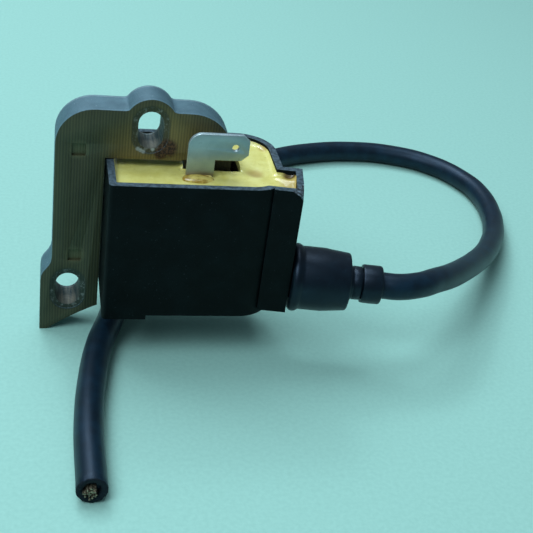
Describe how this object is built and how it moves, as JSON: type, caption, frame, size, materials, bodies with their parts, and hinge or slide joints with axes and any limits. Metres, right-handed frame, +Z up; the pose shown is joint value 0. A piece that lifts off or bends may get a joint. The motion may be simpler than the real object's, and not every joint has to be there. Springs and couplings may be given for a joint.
{
  "type": "ignition coil",
  "caption": "Small-engine ignition coil with laminated iron core, potted square housing, flag terminal, rubber boot and high-voltage lead.",
  "frame": {"origin": "middle of the footprint of everything but the free lead, at the height of the core's pole tip", "axes": "+X from the core's outer leg towards the lead's boot, +Y from the screw-head side through the core to the engine side, +Z up the core's legs from the pole tips to the yoke"},
  "size_m": [0.111, 0.126, 0.0474],
  "materials": {
    "lamination_steel": "varnished, fine grain lines, worn bright where the screws bear",
    "lamination_edge": "sheared sheet edges",
    "housing_nylon": "glass-filled, satin, edges scuffed grey",
    "potting_epoxy": "cast, satin with glossy meniscus",
    "tinned_brass": "tin plate, dull with bright cut edges",
    "bobbin_nylon": "moulded",
    "bobbin_natural": "moulded",
    "magnet_wire": "enamelled copper",
    "board_laminate": "solder mask",
    "film_capacitor": "dipped",
    "component_resin": "moulded",
    "resistor_body": "lacquered",
    "brass_strip": "plain",
    "boot_rubber": "satin black with a blue cast",
    "lead_rubber": "satin black with a blue cast",
    "stranded_wire": "tinned strands"
  },
  "bodies": {
    "root": {"front_lamination": "lamination_steel", "core_lamination_pack": "lamination_edge", "rear_lamination": "lamination_steel", "housing_shell": "housing_nylon", "potting_compound": "potting_epoxy", "stop_terminal": "tinned_brass", "primary_bobbin": "bobbin_nylon", "charge_winding": "magnet_wire", "trigger_winding": "magnet_wire", "primary_winding": "magnet_wire", "secondary_bobbin": "bobbin_natural", "secondary_winding_1": "magnet_wire", "secondary_winding_2": "magnet_wire", "secondary_winding_3": "magnet_wire", "secondary_winding_4": "magnet_wire", "circuit_board": "board_laminate", "storage_capacitor": "film_capacitor", "thyristor": "component_resin", "charge_diode": "component_resin", "clamp_diode": "component_resin", "gate_resistor": "resistor_body", "bleed_resistor": "resistor_body", "earth_strip": "brass_strip", "stop_wire": "lead_rubber", "high_voltage_wire": "magnet_wire", "contact_spike": "brass_strip", "rubber_boot": "boot_rubber", "sealing_sleeve": "boot_rubber", "collar_ring": "boot_rubber", "lead_end_jacket": "lead_rubber", "lead_end_wire": "stranded_wire", "lead_jacket": "lead_rubber", "lead_wire": "stranded_wire"}
  },
  "joints": []
}
